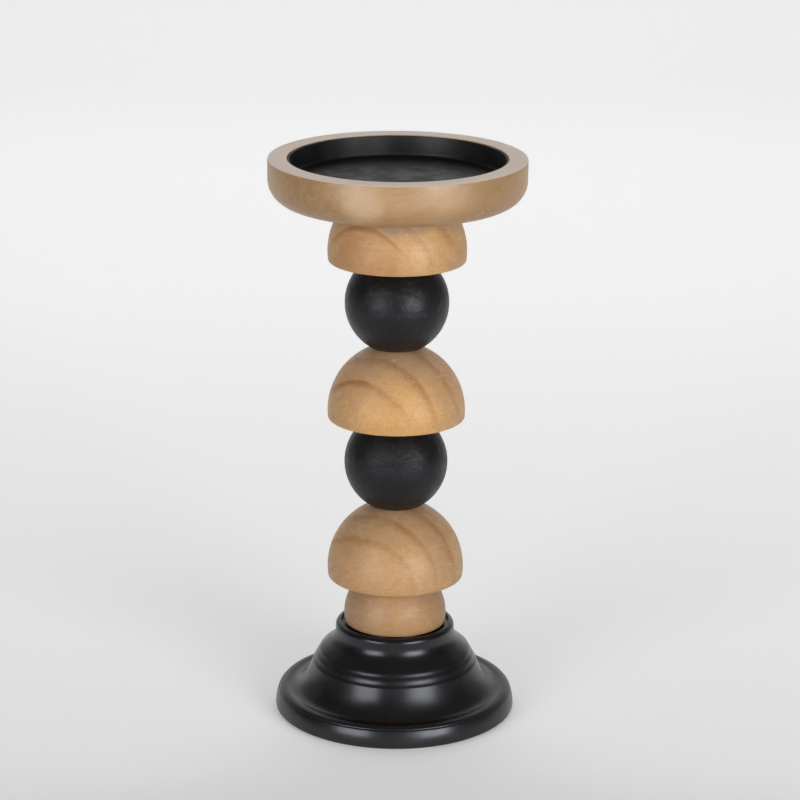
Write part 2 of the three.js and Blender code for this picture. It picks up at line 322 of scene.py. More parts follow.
# %% [markdown]
# ### Growth rings
# A tree adds one ring a year round its pith. In a coordinate whose Z axis runs along the
# pith, a ring is a distance from that axis. Early wood is pale, late wood darkens towards the
# end of the year and then stops, so a ring is a slope and not a wave. Slow noise lets the rings
# wander, fine noise feathers them, and they grow faint away from the pith. The heart inside
# the first ring has no rings and is given out as a value of its own.

# %% Growth rings group
LATE_WOOD = [
    (0.0, 0.3), (0.06, 0.1), (0.14, 0.0), (0.5, 0.0), (0.68, 0.16), (0.8, 0.6), (0.88, 1.0), (0.96, 0.92)
]
DARKEST = 0.92
DRIFT_SCALE, FEATHER_SCALE, UNEVEN_SCALE = 26, 560, 60
DRIFT_STRETCH, FEATHER_STRETCH = (1, 1, 0.4), (1, 1, 0.1)
FEATHER = 0.1
HEART_YEARS, FIRST_YEARS, LATER_YEARS = (-0.9, 0.1), (-0.7, -0.35), (0.3, 1.6)
UNEVEN_RINGS = (0.34, 0.62, 0.4, 1.0)


def growth_rings():
    inputs = [
        ("Vector", "Vector", None),
        ("Ring Width", "Float", 0.013),
        ("First Ring", "Float", 0.02),
        ("Later Rings", "Float", 0.6),
        ("Wander", "Float", 0.006),
    ]
    tree, given, result = shader_group("Growth rings", inputs, [("Ring", "Float"), ("Heart", "Float")])
    along = stretch(tree, given["Vector"], DRIFT_STRETCH)
    wander = noise(tree, along, DRIFT_SCALE, 3)["Color"]
    drift = vector_math(tree, "SUBTRACT", wander, (0.5, 0.5, 0.5))[0]
    shift = add(tree, "ShaderNodeVectorMath", {0: drift, "Scale": given["Wander"]}, operation="SCALE")
    radius = distance_from_axis(tree, vector_math(tree, "ADD", given["Vector"], shift.outputs[0])[0])
    past_first = calculate(tree, "SUBTRACT", radius, given["First Ring"])
    years = calculate(tree, "DIVIDE", past_first, given["Ring Width"])
    feather = noise(tree, stretch(tree, given["Vector"], FEATHER_STRETCH), FEATHER_SCALE, 3)["Fac"]
    date = total(tree, (years, 1.0), (feather, FEATHER), (1.0, DARKEST - FEATHER / 2))
    line = ramp(tree, calculate(tree, "FRACT", date), LATE_WOOD)
    later = spread(tree, years, *LATER_YEARS, 1.0, given["Later Rings"])
    fade = calculate(tree, "MULTIPLY", spread(tree, years, *FIRST_YEARS), later)
    uneven = spread(tree, noise(tree, along, UNEVEN_SCALE, 2)["Fac"], *UNEVEN_RINGS)
    strength = calculate(tree, "MULTIPLY", fade, uneven)
    tree.links.new(calculate(tree, "MULTIPLY", line, strength), result["Ring"])
    tree.links.new(spread(tree, years, *HEART_YEARS, 1.0, 0.0), result["Heart"])
    return tree


GROWTH_RINGS = growth_rings()

# %% [markdown]
# ### Fibre and pores
# Wood is a bundle of tubes along the grain. Noise that is stretched along Z gives streaks on
# a side and dots on an end, as the real tubes do. Pores are the few widest tubes, cut open.

# %% Fibre group
FIBRE_STRETCH, PORE_STRETCH = (1, 1, 0.06), (1, 1, 0.12)
COARSE_FIBRE, PORE_FINENESS = 0.3, 1.6
MIDDLE_TONES = (0.3, 0.7)
WIDEST_TUBES = (0.64, 0.74)


def wood_fibre():
    inputs = [("Vector", "Vector", None), ("Fineness", "Float", 900.0)]
    tree, given, result = shader_group("Wood fibre", inputs, [("Fibre", "Float"), ("Pores", "Float")])
    fine = stretch(tree, given["Vector"], FIBRE_STRETCH)
    streaks = noise(tree, fine, given["Fineness"], 4, 0.6)["Fac"]
    coarse = noise(tree, fine, calculate(tree, "MULTIPLY", given["Fineness"], COARSE_FIBRE), 3)["Fac"]
    mixed = total(tree, (streaks, 0.6), (coarse, 0.4))
    tree.links.new(spread(tree, mixed, *MIDDLE_TONES), result["Fibre"])
    short = stretch(tree, given["Vector"], PORE_STRETCH)
    tubes = noise(tree, short, calculate(tree, "MULTIPLY", given["Fineness"], PORE_FINENESS), 1)["Fac"]
    tree.links.new(spread(tree, tubes, *WIDEST_TUBES), result["Pores"])
    return tree


WOOD_FIBRE = wood_fibre()

# %% [markdown]
# ### Clouds and turning marks
# Clouds are slow changes of tone. Turning marks are the fine rings that a tool leaves round
# the axis, on walls as well as on floors, so they follow height plus distance from the axis.
# Sanding takes most of them away, so they are uneven and break off.

# %% Clouds and turning marks
BREAK_STRETCH, BREAK_SCALE = (1, 1, 4), 90
MARKS_LEFT = (0.4, 0.65)


def clouds():
    inputs = [("Vector", "Vector", None), ("Size", "Float", 0.02)]
    tree, given, result = shader_group("Clouds", inputs, [("Cloud", "Float")])
    scale = calculate(tree, "DIVIDE", 1.0, given["Size"])
    slow = noise(tree, given["Vector"], scale, 3)["Fac"]
    tree.links.new(spread(tree, slow, *MIDDLE_TONES), result["Cloud"])
    return tree


def turning_marks():
    inputs = [("Vector", "Vector", None), ("Spacing", "Float", 0.0006)]
    tree, given, result = shader_group("Turning marks", inputs, [("Marks", "Float")])
    height = add(tree, "ShaderNodeSeparateXYZ", {0: given["Vector"]}).outputs["Z"]
    reach = calculate(tree, "ADD", distance_from_axis(tree, given["Vector"]), height)
    path = calculate(tree, "DIVIDE", reach, given["Spacing"])
    settings = {"W": path, "Scale": 1.0, "Detail": 3.0}
    lines = add(tree, "ShaderNodeTexNoise", settings, noise_dimensions="1D").outputs["Fac"]
    faint = calculate(tree, "SUBTRACT", spread(tree, lines, *MIDDLE_TONES), 0.5)
    sanded = noise(tree, stretch(tree, given["Vector"], BREAK_STRETCH), BREAK_SCALE, 2)["Fac"]
    broken = calculate(tree, "MULTIPLY", faint, spread(tree, sanded, *MARKS_LEFT))
    tree.links.new(calculate(tree, "ADD", broken, 0.5), result["Marks"])
    return tree


CLOUDS, TURNING_MARKS = clouds(), turning_marks()

# %% [markdown]
# ### Scuffs and patches
# Scuffs are short pale rubs where the piece was handled: long noise, kept only inside spots of
# slower noise. A patch is one soft-edged place with a centre and a size, for a spot where the
# finish lies differently.

# %% Scuffs and patches
SCUFF_TURN, SCUFF_STRETCH = (0.5, 0.7, 0.4), (1, 0.16, 1)
SCUFF_FINENESS = 4.0
RUB_RANGE, SPOT_RANGE = (0.6, 0.72), (0.52, 0.68)
RAGGED_SCALE, RAGGED = 130, 0.9
PATCH_EDGE = (0.75, 1.5)


def scuffs():
    inputs = [("Vector", "Vector", None), ("Density", "Float", 120.0)]
    tree, given, result = shader_group("Scuffs", inputs, [("Scuff", "Float")])
    turn = {"Vector": given["Vector"], "Rotation": SCUFF_TURN}
    skewed = add(tree, "ShaderNodeMapping", turn).outputs[0]
    finer = calculate(tree, "MULTIPLY", given["Density"], SCUFF_FINENESS)
    rubs = noise(tree, stretch(tree, skewed, SCUFF_STRETCH), finer, 2)["Fac"]
    spots = noise(tree, given["Vector"], given["Density"], 1)["Fac"]
    scuff = calculate(tree, "MULTIPLY", spread(tree, rubs, *RUB_RANGE), spread(tree, spots, *SPOT_RANGE))
    tree.links.new(scuff, result["Scuff"])
    return tree


def patch():
    inputs = [("Vector", "Vector", None), ("Centre", "Vector", None), ("Size", "Float", 0.02)]
    tree, given, result = shader_group("Patch", inputs, [("Patch", "Float")])
    away = vector_math(tree, "DISTANCE", given["Vector"], given["Centre"])["Value"]
    ragged = noise(tree, given["Vector"], RAGGED_SCALE, 4)["Fac"]
    reach = total(tree, (calculate(tree, "DIVIDE", away, given["Size"]), 1.0), (ragged, RAGGED))
    tree.links.new(spread(tree, reach, *PATCH_EDGE, 1.0, 0.0), result["Patch"])
    return tree


SCUFFS, PATCH = scuffs(), patch()
effects = (GROWTH_RINGS, WOOD_FIBRE, CLOUDS, TURNING_MARKS, SCUFFS, PATCH)
print("shader groups:", ", ".join(group.name for group in effects))

# %% [markdown]
# ### From effects to a material
# Every finish is one Principled shader. What is the same all over the piece is set on its own
# sockets, and only what changes over the surface is linked. Patterns read Object coordinates,
# so they stay in place when a piece moves.

# %% Material helpers


def new_material(name, **fixed):
    """A material with a Principled BSDF whose fixed values are set on its own sockets."""
    material = bpy.data.materials.new(name)
    material.use_nodes = True
    tree = material.node_tree
    shader = tree.nodes["Principled BSDF"]
    for socket, value in fixed.items():
        shader.inputs[socket.replace("_", " ")].default_value = value
    return material, tree, shader


def object_coordinate(tree):
    return add(tree, "ShaderNodeTexCoord").outputs["Object"]


def effect(tree, group, vector, **values):
    """Places one of the shared effects and returns its outputs."""
    made = add(tree, "ShaderNodeGroup", node_tree=group)
    tree.links.new(vector, made.inputs["Vector"])
    for name, value in values.items():
        made.inputs[name.replace("_", " ")].default_value = value
    return made.outputs


def bump(tree, shader, height, strength, depth):
    """Lets a height between 0 and 1 tilt the surface, as if it were this deep."""
    made = add(tree, "ShaderNodeBump", {"Height": height, "Strength": strength, "Distance": depth})
    tree.links.new(made.outputs[0], shader.inputs["Normal"])


def grain_coordinate(tree, pith, lean):
    """A coordinate whose Z axis runs along the pith, from a point on it and its lean in degrees."""
    rotation = tuple(math.radians(a) for a in lean)
    settings = {"Vector": object_coordinate(tree), "Location": pith, "Rotation": rotation}
    return add(tree, "ShaderNodeMapping", settings, vector_type="TEXTURE").outputs[0]


# %% [markdown]
# ## Natural wood
# The half-domes are a light honey-coloured wood under a thin satin oil. Each blank came from
# another place in the trunk, so each piece has its own pith and its own rings: brown arcs on
# paler wood. The pale wood turns rosy in clouds, has one golden place in front, and is darker
# towards its lower edge. Towards the top it is painted paler and rosier, a painted sheen for the
# reflection on the upward faces. The brown heart near the pith also paints the shade on the left
# side of the upper dome, and under the dish the top of that dome is painted grey, a painted
# shadow of the dish. A picture of wood would show a seam where it meets itself round a ball, so
# the colours are mixed from formulas instead.

# %% Natural wood
EARLY_WOOD = (0.61, 0.36, 0.162, 1)
LATE_WOOD_BROWN = (0.36, 0.143, 0.04, 1)
ROSY_WOOD = (0.52, 0.32, 0.178, 1)
GOLDEN_WOOD = (0.66, 0.352, 0.12, 1)
PORE_BROWN = (0.3, 0.145, 0.06, 1)
DUST_PALE = (0.76, 0.6, 0.44, 1)
# grey of the painted shadow that the dish casts on the upper dome
DISH_SHADOW_GREY = (0.36, 0.275, 0.2, 1)
# how far the top is painted paler and rosier, a painted sheen
TOP_SHEEN = 0.5
# the wood is darker towards its lower edge
LOW_DARK_HEIGHT, LOW_DARK_TONE = 13 * MM, 0.9
DISH_SHADOW_END, DISH_SHADOW_FULL = 14 * MM, 7 * MM
RINGS_FAINT, RINGS_FULL, FAINT_SHARE = 1 * MM, 24 * MM, 0.25
FIBRE_TONES, TURNING_TONES = [(0, 0.85), (1, 1.07)], [(0, 0.84), (1, 1.04)]
TURNING_SHARE, PORE_SHARE, DUST_SHARE = 0.5, 0.24, 0.3
OIL_GLOSS = (0.52, 0.42)


def natural_wood(name, node, pith, lean, rings, golden_place, looks):
    """Looks: tone, golden, figure, heart with painted shade, rosy, and painted shadow of the dish."""
    material, tree, shader = new_material(name)
    place = object_coordinate(tree)
    grain = grain_coordinate(tree, pith, lean)
    growth = effect(tree, GROWTH_RINGS, grain, **rings)
    fibre = effect(tree, WOOD_FIBRE, grain, Fineness=1000)
    cloud = effect(tree, CLOUDS, grain, Size=24 * MM)["Cloud"]
    marks = effect(tree, TURNING_MARKS, place, Spacing=1 * MM)["Marks"]
    golden = effect(tree, PATCH, place, Centre=golden_place, Size=34 * MM)["Patch"]
    flecks = effect(tree, SCUFFS, place, Density=150)["Scuff"]
    height = add(tree, "ShaderNodeSeparateXYZ", {0: place}).outputs["Z"]
    bottom, top = heights(node)
    tone, figure = looks["tone"], looks["figure"]

    # painted sheen: towards the top the wood is painted paler and rosier
    top_sheen = spread(tree, height, (bottom + top) / 2, top, 0.0, TOP_SHEEN)
    pink = total(tree, (cloud, 0.5), (golden, -0.4), (top_sheen, 1.0))
    pale = blend(tree, calculate(tree, "ADD", pink, looks["rosy"], clamp=True), EARLY_WOOD, ROSY_WOOD)
    ground = blend(tree, calculate(tree, "MULTIPLY", golden, looks["golden"]), pale, GOLDEN_WOOD)
    # darker towards the lower edge
    darker_low = spread(tree, height, bottom, bottom + LOW_DARK_HEIGHT, LOW_DARK_TONE * tone, tone)
    darkened = blend(tree, 1.0, ground, darker_low, "MULTIPLY")
    # painted shadow of the dish: the top of the upper dome is painted grey
    under_dish = spread(tree, height, top - DISH_SHADOW_END, top - DISH_SHADOW_FULL, 0.0, looks["shaded_by_dish"])
    shaded_by_dish = blend(tree, calculate(tree, "MULTIPLY", under_dish, cloud), darkened, DISH_SHADOW_GREY)

    faint_below = (bottom + RINGS_FAINT, bottom + RINGS_FULL, FAINT_SHARE * figure, figure)
    ring = calculate(tree, "MULTIPLY", growth["Ring"], spread(tree, height, *faint_below))
    # the brown heart also paints the shade on the left side of the upper dome
    dark = total(tree, (ring, 1.0), (growth["Heart"], looks["heart_and_shade"]))
    ringed = blend(tree, dark, shaded_by_dish, LATE_WOOD_BROWN)
    streaked = blend(tree, 1.0, ringed, ramp(tree, fibre["Fibre"], FIBRE_TONES), "MULTIPLY")
    lined = blend(tree, TURNING_SHARE, streaked, ramp(tree, marks, TURNING_TONES), "MULTIPLY")
    porous = blend(tree, calculate(tree, "MULTIPLY", fibre["Pores"], PORE_SHARE), lined, PORE_BROWN)
    dusted = blend(tree, calculate(tree, "MULTIPLY", flecks, DUST_SHARE), porous, DUST_PALE)
    tree.links.new(dusted, shader.inputs["Base Color"])
    tree.links.new(spread(tree, fibre["Fibre"], 0, 1, *OIL_GLOSS), shader.inputs["Roughness"])
    relief = total(tree, (fibre["Fibre"], 0.4), (marks, TURNING_SHARE), (fibre["Pores"], -1.0))
    bump(tree, shader, relief, strength=0.25, depth=0.12 * MM)
    return material


# %% [markdown]
# ## Half-domes
# A half-dome is a ball with a flat seat above and below. Both seats have an eased edge, which
# catches a thin light line. A Boolean could cut a sphere flat and a Bevel could ease the cut, but
# an outline for the lathe keeps clean rows of faces. The rounding has to meet the ball without a
# corner, so its centre lies where it touches the ball from inside.

# %% Half-dome outline
DOME_RADIUS = 33.7 * MM
DOME_SKIRT = 4.7 * MM
MIDDLE_DOME_SKIRT = 3.3 * MM
DOME_EDGE = 0.7 * MM
SEAT_EDGE = 0.35 * MM
BORE_RADIUS = 3.5 * MM


def ball_edge(radius, height, size):
    """Where a rounding of this size, this high above the centre, touches a ball from inside."""
    centre = math.sqrt((radius - size) ** 2 - height**2)
    return centre, math.degrees(math.atan2(height, centre))


def ball_slice(node, radius, skirt, edge):
    """The outline of a ball cut flat at a node's ends; its middle lies a skirt above the lower one."""
    bottom, top = heights(node)
    middle = bottom + skirt
    low_radius, low_angle = ball_edge(radius, edge - skirt, edge)
    high_radius, high_angle = ball_edge(radius, top - SEAT_EDGE - middle, SEAT_EDGE)
    outline = [(BORE_RADIUS, bottom)]
    outline += arc(low_radius, bottom + edge, edge, -90, low_angle)
    outline += arc(0, middle, radius, low_angle, high_angle)[1:-1]
    outline += arc(high_radius, top - SEAT_EDGE, SEAT_EDGE, high_angle, 90)
    return outline + [(BORE_RADIUS, top)]


# %% [markdown]
# ### Three domes from three places in the trunk
# The pith and the golden place are given in millimetres from the middle of each dome's ball.
# The pith passes low on the left and rises towards the viewer, close to the upper dome and far
# from the middle one, so the rings cross each front as arcs of their own.

# %% Half-domes
UPPER_PITH, UPPER_LEAN, UPPER_GOLDEN = (-8.4, 0, -12.6), (78.4, 0, -17), (2, -33, -2)
MIDDLE_PITH, MIDDLE_LEAN, MIDDLE_GOLDEN = (-47.2, 0, -74.1), (45.5, 0, 3.6), (2, -33, -4)
LOWER_PITH, LOWER_LEAN, LOWER_GOLDEN = (-38.1, 0, -29.1), (62.4, 0, 17.6), (0, -33, -3)
UPPER_RINGS = {"Ring_Width": 9.8 * MM, "First_Ring": 23.7 * MM, "Later_Rings": 0.6}
MIDDLE_RINGS = {"Ring_Width": 13.8 * MM, "First_Ring": 58.8 * MM, "Later_Rings": 0.6}
LOWER_RINGS = {"Ring_Width": 12.8 * MM, "First_Ring": 35.1 * MM, "Later_Rings": 0.9}
# on the upper dome the strong brown heart also stands for painted shade on its left side
UPPER_LOOKS = {"tone": 0.96, "golden": 0.3, "figure": 0.75, "heart_and_shade": 0.42, "rosy": 0.1, "shaded_by_dish": 1.0}
MIDDLE_LOOKS = {"tone": 1.02, "golden": 0.9, "figure": 0.8, "heart_and_shade": 0.12, "rosy": 0.1, "shaded_by_dish": 0.0}
LOWER_LOOKS = {"tone": 0.91, "golden": 0.1, "figure": 0.7, "heart_and_shade": 0.1, "rosy": 0.1, "shaded_by_dish": 0.0}


def dome(name, skirt, pith, lean, rings, golden, looks):
    """A half-dome whose pith and golden place are given from the middle of its own ball."""
    middle = Vector((0, 0, heights(name)[0] + skirt))
    pith_place, golden_place = middle + Vector(pith) * MM, middle + Vector(golden) * MM
    wood = natural_wood(name + "_wood", name, pith_place, lean, rings, golden_place, looks)
    turned(name + "_turned", name, ball_slice(name, DOME_RADIUS, skirt, DOME_EDGE), wood)


dome("upper_half_dome", DOME_SKIRT, UPPER_PITH, UPPER_LEAN, UPPER_RINGS, UPPER_GOLDEN, UPPER_LOOKS)
dome(
    "middle_half_dome", MIDDLE_DOME_SKIRT, MIDDLE_PITH, MIDDLE_LEAN,
    MIDDLE_RINGS, MIDDLE_GOLDEN, MIDDLE_LOOKS,
)
dome("lower_half_dome", DOME_SKIRT, LOWER_PITH, LOWER_LEAN, LOWER_RINGS, LOWER_GOLDEN, LOWER_LOOKS)

# %% [markdown]
# ## Neck
# The neck is a slice of a ball of the smaller size, so the rule of the domes makes it too. Its
# wood is darker and rosier than theirs and shows hardly any rings.

# %% Neck
BALL_RADIUS = 25.4 * MM
NECK_SKIRT = 4 * MM
NECK_EDGE = 0.5 * MM
NECK_PITH, NECK_LEAN, NECK_GOLDEN = (0.02, 0, 0.02), (73, 0, 0), (0.006, -0.026, 0.045)
NECK_RINGS = {"Ring_Width": 16 * MM, "First_Ring": 34 * MM, "Later_Rings": 0.8}
NECK_LOOKS = {"tone": 0.77, "golden": 0.3, "figure": 0.2, "heart_and_shade": 0.1, "rosy": 0.5, "shaded_by_dish": 0.0}
neck_wood = natural_wood(
    "neck_wood", "neck_half_dome", NECK_PITH, NECK_LEAN, NECK_RINGS, NECK_GOLDEN, NECK_LOOKS
)
neck_outline = ball_slice("neck_half_dome", BALL_RADIUS, NECK_SKIRT, NECK_EDGE)
turned("neck_half_dome_turned", "neck_half_dome", neck_outline, neck_wood)

# %% [markdown]
# ## Black stained balls
# The balls are stained black and rubbed with a satin coat that follows the grain, so it is the
# gloss and not the colour that shows the wood: fibres break up each highlight, and on the lower
# ball rays run out from the pith. A few scuffs have let grey through, most of all in one place.
# One even black with one even gloss would be simpler, but it would look like plastic.

# %% Black stain
COOL_GLOSS = (0.89, 0.91, 1, 1)
STAIN_BLACK = (0.0045, 0.0044, 0.0047, 1)
STAIN_WORN = (0.06, 0.058, 0.059, 1)
STAIN_RINGS = {"Ring_Width": 6 * MM, "First_Ring": 6 * MM, "Later_Rings": 1.0}
RAY_REACH, RAY_STRENGTH = (8 * MM, 20 * MM), (1.0, 0.15)
RAY_SCALE, RAY_RANGE = 12, (0.35, 0.65)
DULLEST = 1.3


def black_stain(name, pith, lean, worn_place, gloss, streaks):
    """Gloss is the lowest and the highest roughness, streaks how much rays from the pith show."""
    material, tree, shader = new_material(name, Specular_IOR_Level=0.33, Specular_Tint=COOL_GLOSS)
    place = object_coordinate(tree)
    grain = grain_coordinate(tree, pith, lean)
    outward = vector_math(tree, "NORMALIZE", stretch(tree, grain, (1, 1, 0)))[0]
    near_pith = spread(tree, distance_from_axis(tree, grain), *RAY_REACH, *RAY_STRENGTH)
    spokes = spread(tree, noise(tree, outward, RAY_SCALE, 2)["Fac"], *RAY_RANGE)
    rays = calculate(tree, "MULTIPLY", spokes, near_pith)
    ring = effect(tree, GROWTH_RINGS, grain, **STAIN_RINGS)["Ring"]
    fibre = effect(tree, WOOD_FIBRE, grain, Fineness=620)
    scuff = effect(tree, SCUFFS, place, Density=110)["Scuff"]
    cloud = effect(tree, CLOUDS, grain, Size=10 * MM)["Cloud"]
    rubbed = effect(tree, PATCH, place, Centre=worn_place, Size=12 * MM)["Patch"]
    grain_bumps = effect(tree, CLOUDS, place, Size=3.5 * MM)["Cloud"]
    rubbed_scuff = calculate(tree, "MULTIPLY", scuff, rubbed)
    worn = total(tree, (scuff, 0.25), (rubbed_scuff, 1.5), (fibre["Fibre"], 0.05))
    tree.links.new(blend(tree, worn, STAIN_BLACK, STAIN_WORN), shader.inputs["Base Color"])
    dull = total(tree, (fibre["Fibre"], 0.4), (rays, streaks), (cloud, 0.4), (scuff, 0.4))
    tree.links.new(spread(tree, dull, 0, DULLEST, *gloss), shader.inputs["Roughness"])
    bumps = total(tree, (rays, streaks), (ring, 0.3), (grain_bumps, 0.8))
    relief = total(tree, (bumps, 1.0), (fibre["Fibre"], 0.6), (fibre["Pores"], -0.6))
    bump(tree, shader, relief, strength=0.6, depth=0.18 * MM)
    return material


# %% Black stained balls
BALL_FLAT_DEPTH = 3.8 * MM
LOWER_BALL_GRAIN, LOWER_BALL_WORN = ((-0.003, 0, 0.127), (73, 0, 0)), (0.012, -0.021, 0.136)
UPPER_BALL_GRAIN, UPPER_BALL_WORN = ((0.01, 0, 0.19), (100, 0, -25)), (-0.0085, -0.0235, 0.206)
LOWER_BALL_GLOSS, LOWER_BALL_STREAKS = (0.38, 0.58), 0.6
UPPER_BALL_GLOSS, UPPER_BALL_STREAKS = (0.36, 0.56), 0.0


def ball(name, grain, worn_place, gloss, streaks):
    stain = black_stain(name + "_stain", *grain, worn_place, gloss, streaks)
    outline = ball_slice(name, BALL_RADIUS, BALL_RADIUS - BALL_FLAT_DEPTH, SEAT_EDGE)
    turned(name + "_turned", name, outline, stain)


ball("lower_ball", LOWER_BALL_GRAIN, LOWER_BALL_WORN, LOWER_BALL_GLOSS, LOWER_BALL_STREAKS)
ball("upper_ball", UPPER_BALL_GRAIN, UPPER_BALL_WORN, UPPER_BALL_GLOSS, UPPER_BALL_STREAKS)

# %% [markdown]
# ## The lacquered base
# The base is one turning: a foot band that bulges a little, a fine groove, a round nose with a
# shallow hollow behind it, a wide cove that leans inwards, two soft beads, a small cove and a
# collar. Nose and beads are runs of arcs that flow into each other, so each arc is given by its
# radius in millimetres and by how far its surface tips up at its two ends, in degrees. A drawn
# curve could follow the outline too, but arcs are what a turner's gouge cuts, and each keeps a
# size that can be changed. The underside has a recess for the felt and a pocket for the nut. A
# groove sets the neck off.

# %% The base outline
FOOT_RADIUS = 59.8 * MM
BAND_BOW = 19 * MM
BAND_TIP = 23.6
BAND_EDGE = 0.8 * MM
NOSE = [
    (0.6, BAND_TIP, 72), (-0.5, 72, 6), (0.3, 6, 28), (1.2, 28, 60), (5.2, 60, 92), (2.5, 92, 104),
    (-14, 104, 100), (-5, 100, 90)
]
LOWER_COVE_TURN = 42
BEADS_START = (41.1 * MM, 24.07 * MM)
BEADS = [(2.6, 17.4, 40), (-5.2, 40, 19.5), (7.2, 19.5, 38), (-5.4, 38, 22), (4.4, 22, 50)]
UPPER_COVE_SIZE, UPPER_COVE_TURN = 8.5 * MM, 50
COLLAR_RADIUS = 29.56 * MM
COLLAR_FOOT = 41.1 * MM
COLLAR_EDGE = 2.6 * MM
NECK_GROOVE = [(26.9 * MM, 0), (26.5 * MM, 1.6 * MM), (24.4 * MM, 1.6 * MM), (24 * MM, 0)]
POCKET_RADIUS = 11 * MM
RECESS_RADIUS = 51.8 * MM
RECESS_TOP = 2.05 * MM
FOOT_POCKET_TOP = 14.75 * MM


def flowing(radius, height, arcs):
    """Arcs that run on from a point and from each other; a hollow arc has a negative radius."""
    points = []
    for size, first, last in arcs:
        start = math.radians(first)
        middle = radius - size * MM * math.cos(start), height - size * MM * math.sin(start)
        points += arc(*middle, size * MM, first, last)
        radius, height = points[-1]
    return points


def oval_cove(low, high, turn):
    """Points between the two ends of an oval hollow that starts level and turns upwards."""
    turned_by = math.radians(turn)
    wide = (low[0] - high[0]) / math.sin(turned_by)
    tall = (high[1] - low[1]) / (1 - math.cos(turned_by))
    return arc(low[0], low[1] + tall, wide, 270, 270 - turn, tall)[1:-1]


def base_outline():
    foot, top = heights("base")
    outline = [(BORE_RADIUS, FOOT_POCKET_TOP), (POCKET_RADIUS, FOOT_POCKET_TOP)]
    outline += [(POCKET_RADIUS, RECESS_TOP), (RECESS_RADIUS, RECESS_TOP)]
    outline += [(RECESS_RADIUS, foot), (FOOT_RADIUS - BAND_EDGE, foot)]
    outline += arc(FOOT_RADIUS - BAND_EDGE, foot + BAND_EDGE, BAND_EDGE, -90, 0)[1:-1]
    outline += arc(FOOT_RADIUS - BAND_BOW, foot + BAND_EDGE, BAND_BOW, 0, BAND_TIP)
    outline += flowing(*outline[-1], NOSE)[1:]
    outline += oval_cove(outline[-1], BEADS_START, LOWER_COVE_TURN)
    outline += flowing(*BEADS_START, BEADS)
    cove_middle = COLLAR_RADIUS + UPPER_COVE_SIZE
    outline += arc(cove_middle, COLLAR_FOOT, UPPER_COVE_SIZE, 180 + UPPER_COVE_TURN, 180)
    outline += arc(COLLAR_RADIUS - COLLAR_EDGE, top - COLLAR_EDGE, COLLAR_EDGE, 0, 90)
    outline += [(radius, top - depth) for radius, depth in NECK_GROOVE]
    return outline + [(BORE_RADIUS, top)]


# %% [markdown]
# ### Black lacquer
# The lacquer is thick enough to hide the grain. What is left is a slight waviness, which makes
# the edges of the highlights uneven, patches that were rubbed duller, and a little dust.

# %% Black lacquer
LACQUER_BLACK = (0.0075, 0.0073, 0.0078, 1)
LACQUER_DUST = (0.03, 0.029, 0.028, 1)
LACQUER_GLOSS = (0.24, 0.33)
DUST_SCALE, DUST_RANGE, DUST_STRENGTH = 1500, (0.72, 0.8), 0.35
WAVE_SCALE = 160


def black_lacquer():
    fixed = {"Specular_IOR_Level": 0.5, "Specular_Tint": COOL_GLOSS}
    material, tree, shader = new_material("black_lacquer", **fixed)
    place = object_coordinate(tree)
    cloud = effect(tree, CLOUDS, place, Size=30 * MM)["Cloud"]
    dust = spread(tree, noise(tree, place, DUST_SCALE, 1)["Fac"], *DUST_RANGE)
    speck = calculate(tree, "MULTIPLY", dust, DUST_STRENGTH)
    tree.links.new(blend(tree, speck, LACQUER_BLACK, LACQUER_DUST), shader.inputs["Base Color"])
    tree.links.new(spread(tree, cloud, 0, 1, *LACQUER_GLOSS), shader.inputs["Roughness"])
    bump(tree, shader, noise(tree, place, WAVE_SCALE, 2)["Fac"], strength=0.12, depth=0.3 * MM)
    return material


turned("base_turned", "base", base_outline(), black_lacquer(), sides=224)

# %% [markdown]
# ## The limed dish
# The dish is wood with a grey-beige wash rubbed into it and a satin coat. The wash lies
# unevenly: it is thin, brown and blotchy in one place on the side, dull in another and chalky in
# a third. Towards the bottom the side is painted browner, a painted shade under the rounded
# corner. The wash fills the pores with pale lime, and small rubs show on the left and right. The
# flat rim is painted paler than the side, a painted sheen for the light it catches at a grazing
# angle. All this could be painted on an image. Here each place is a patch with a centre and a
# size, so it can be moved or left out.

# %% Limed wood
# the rim is painted paler: a painted sheen
RIM_SHEEN_DEPTHS = (0.6 * MM, 0.1 * MM)
# the side is painted browner towards the bottom: painted shade
SHADED_LOW_DEPTHS, SHADED_LOW_SHARE = (20 * MM, 8 * MM), 0.75
BROWN_PLACE, DULL_PLACE = (-0.041, -0.047, 0.275), (0.046, -0.042, 0.268)
PALE_PLACE = (-0.016, -0.0605, 0.271)
LEFT_SCUFFS, RIGHT_SCUFFS = (-0.034, -0.052, 0.2695), (0.043, -0.045, 0.27)
DISH_PITH, DISH_LEAN = (-0.05, 0.02, 0.2), (0, 82, 0)
DISH_RINGS = {"Ring_Width": 14 * MM, "First_Ring": 14 * MM, "Later_Rings": 1.0, "Wander": 20 * MM}
WASH_TAN = (0.435, 0.27, 0.132, 1)
WASH_BROWN = (0.31, 0.178, 0.078, 1)
LIME_PALE = (0.6, 0.47, 0.34, 1)
# pale colour of the painted sheen on the rim
RIM_SHEEN_PALE = (0.82, 0.665, 0.55, 1)
RIM_SHEEN_SHARE = 0.95
SPECKLE_SCALE, SPECKLE = 330, (0.36, 0.6, 0.4, 1.0)
LIMED_TONES = [(0, 0.93), (1, 1.04)]
WASH_GLOSS = (0.4, 0.32)


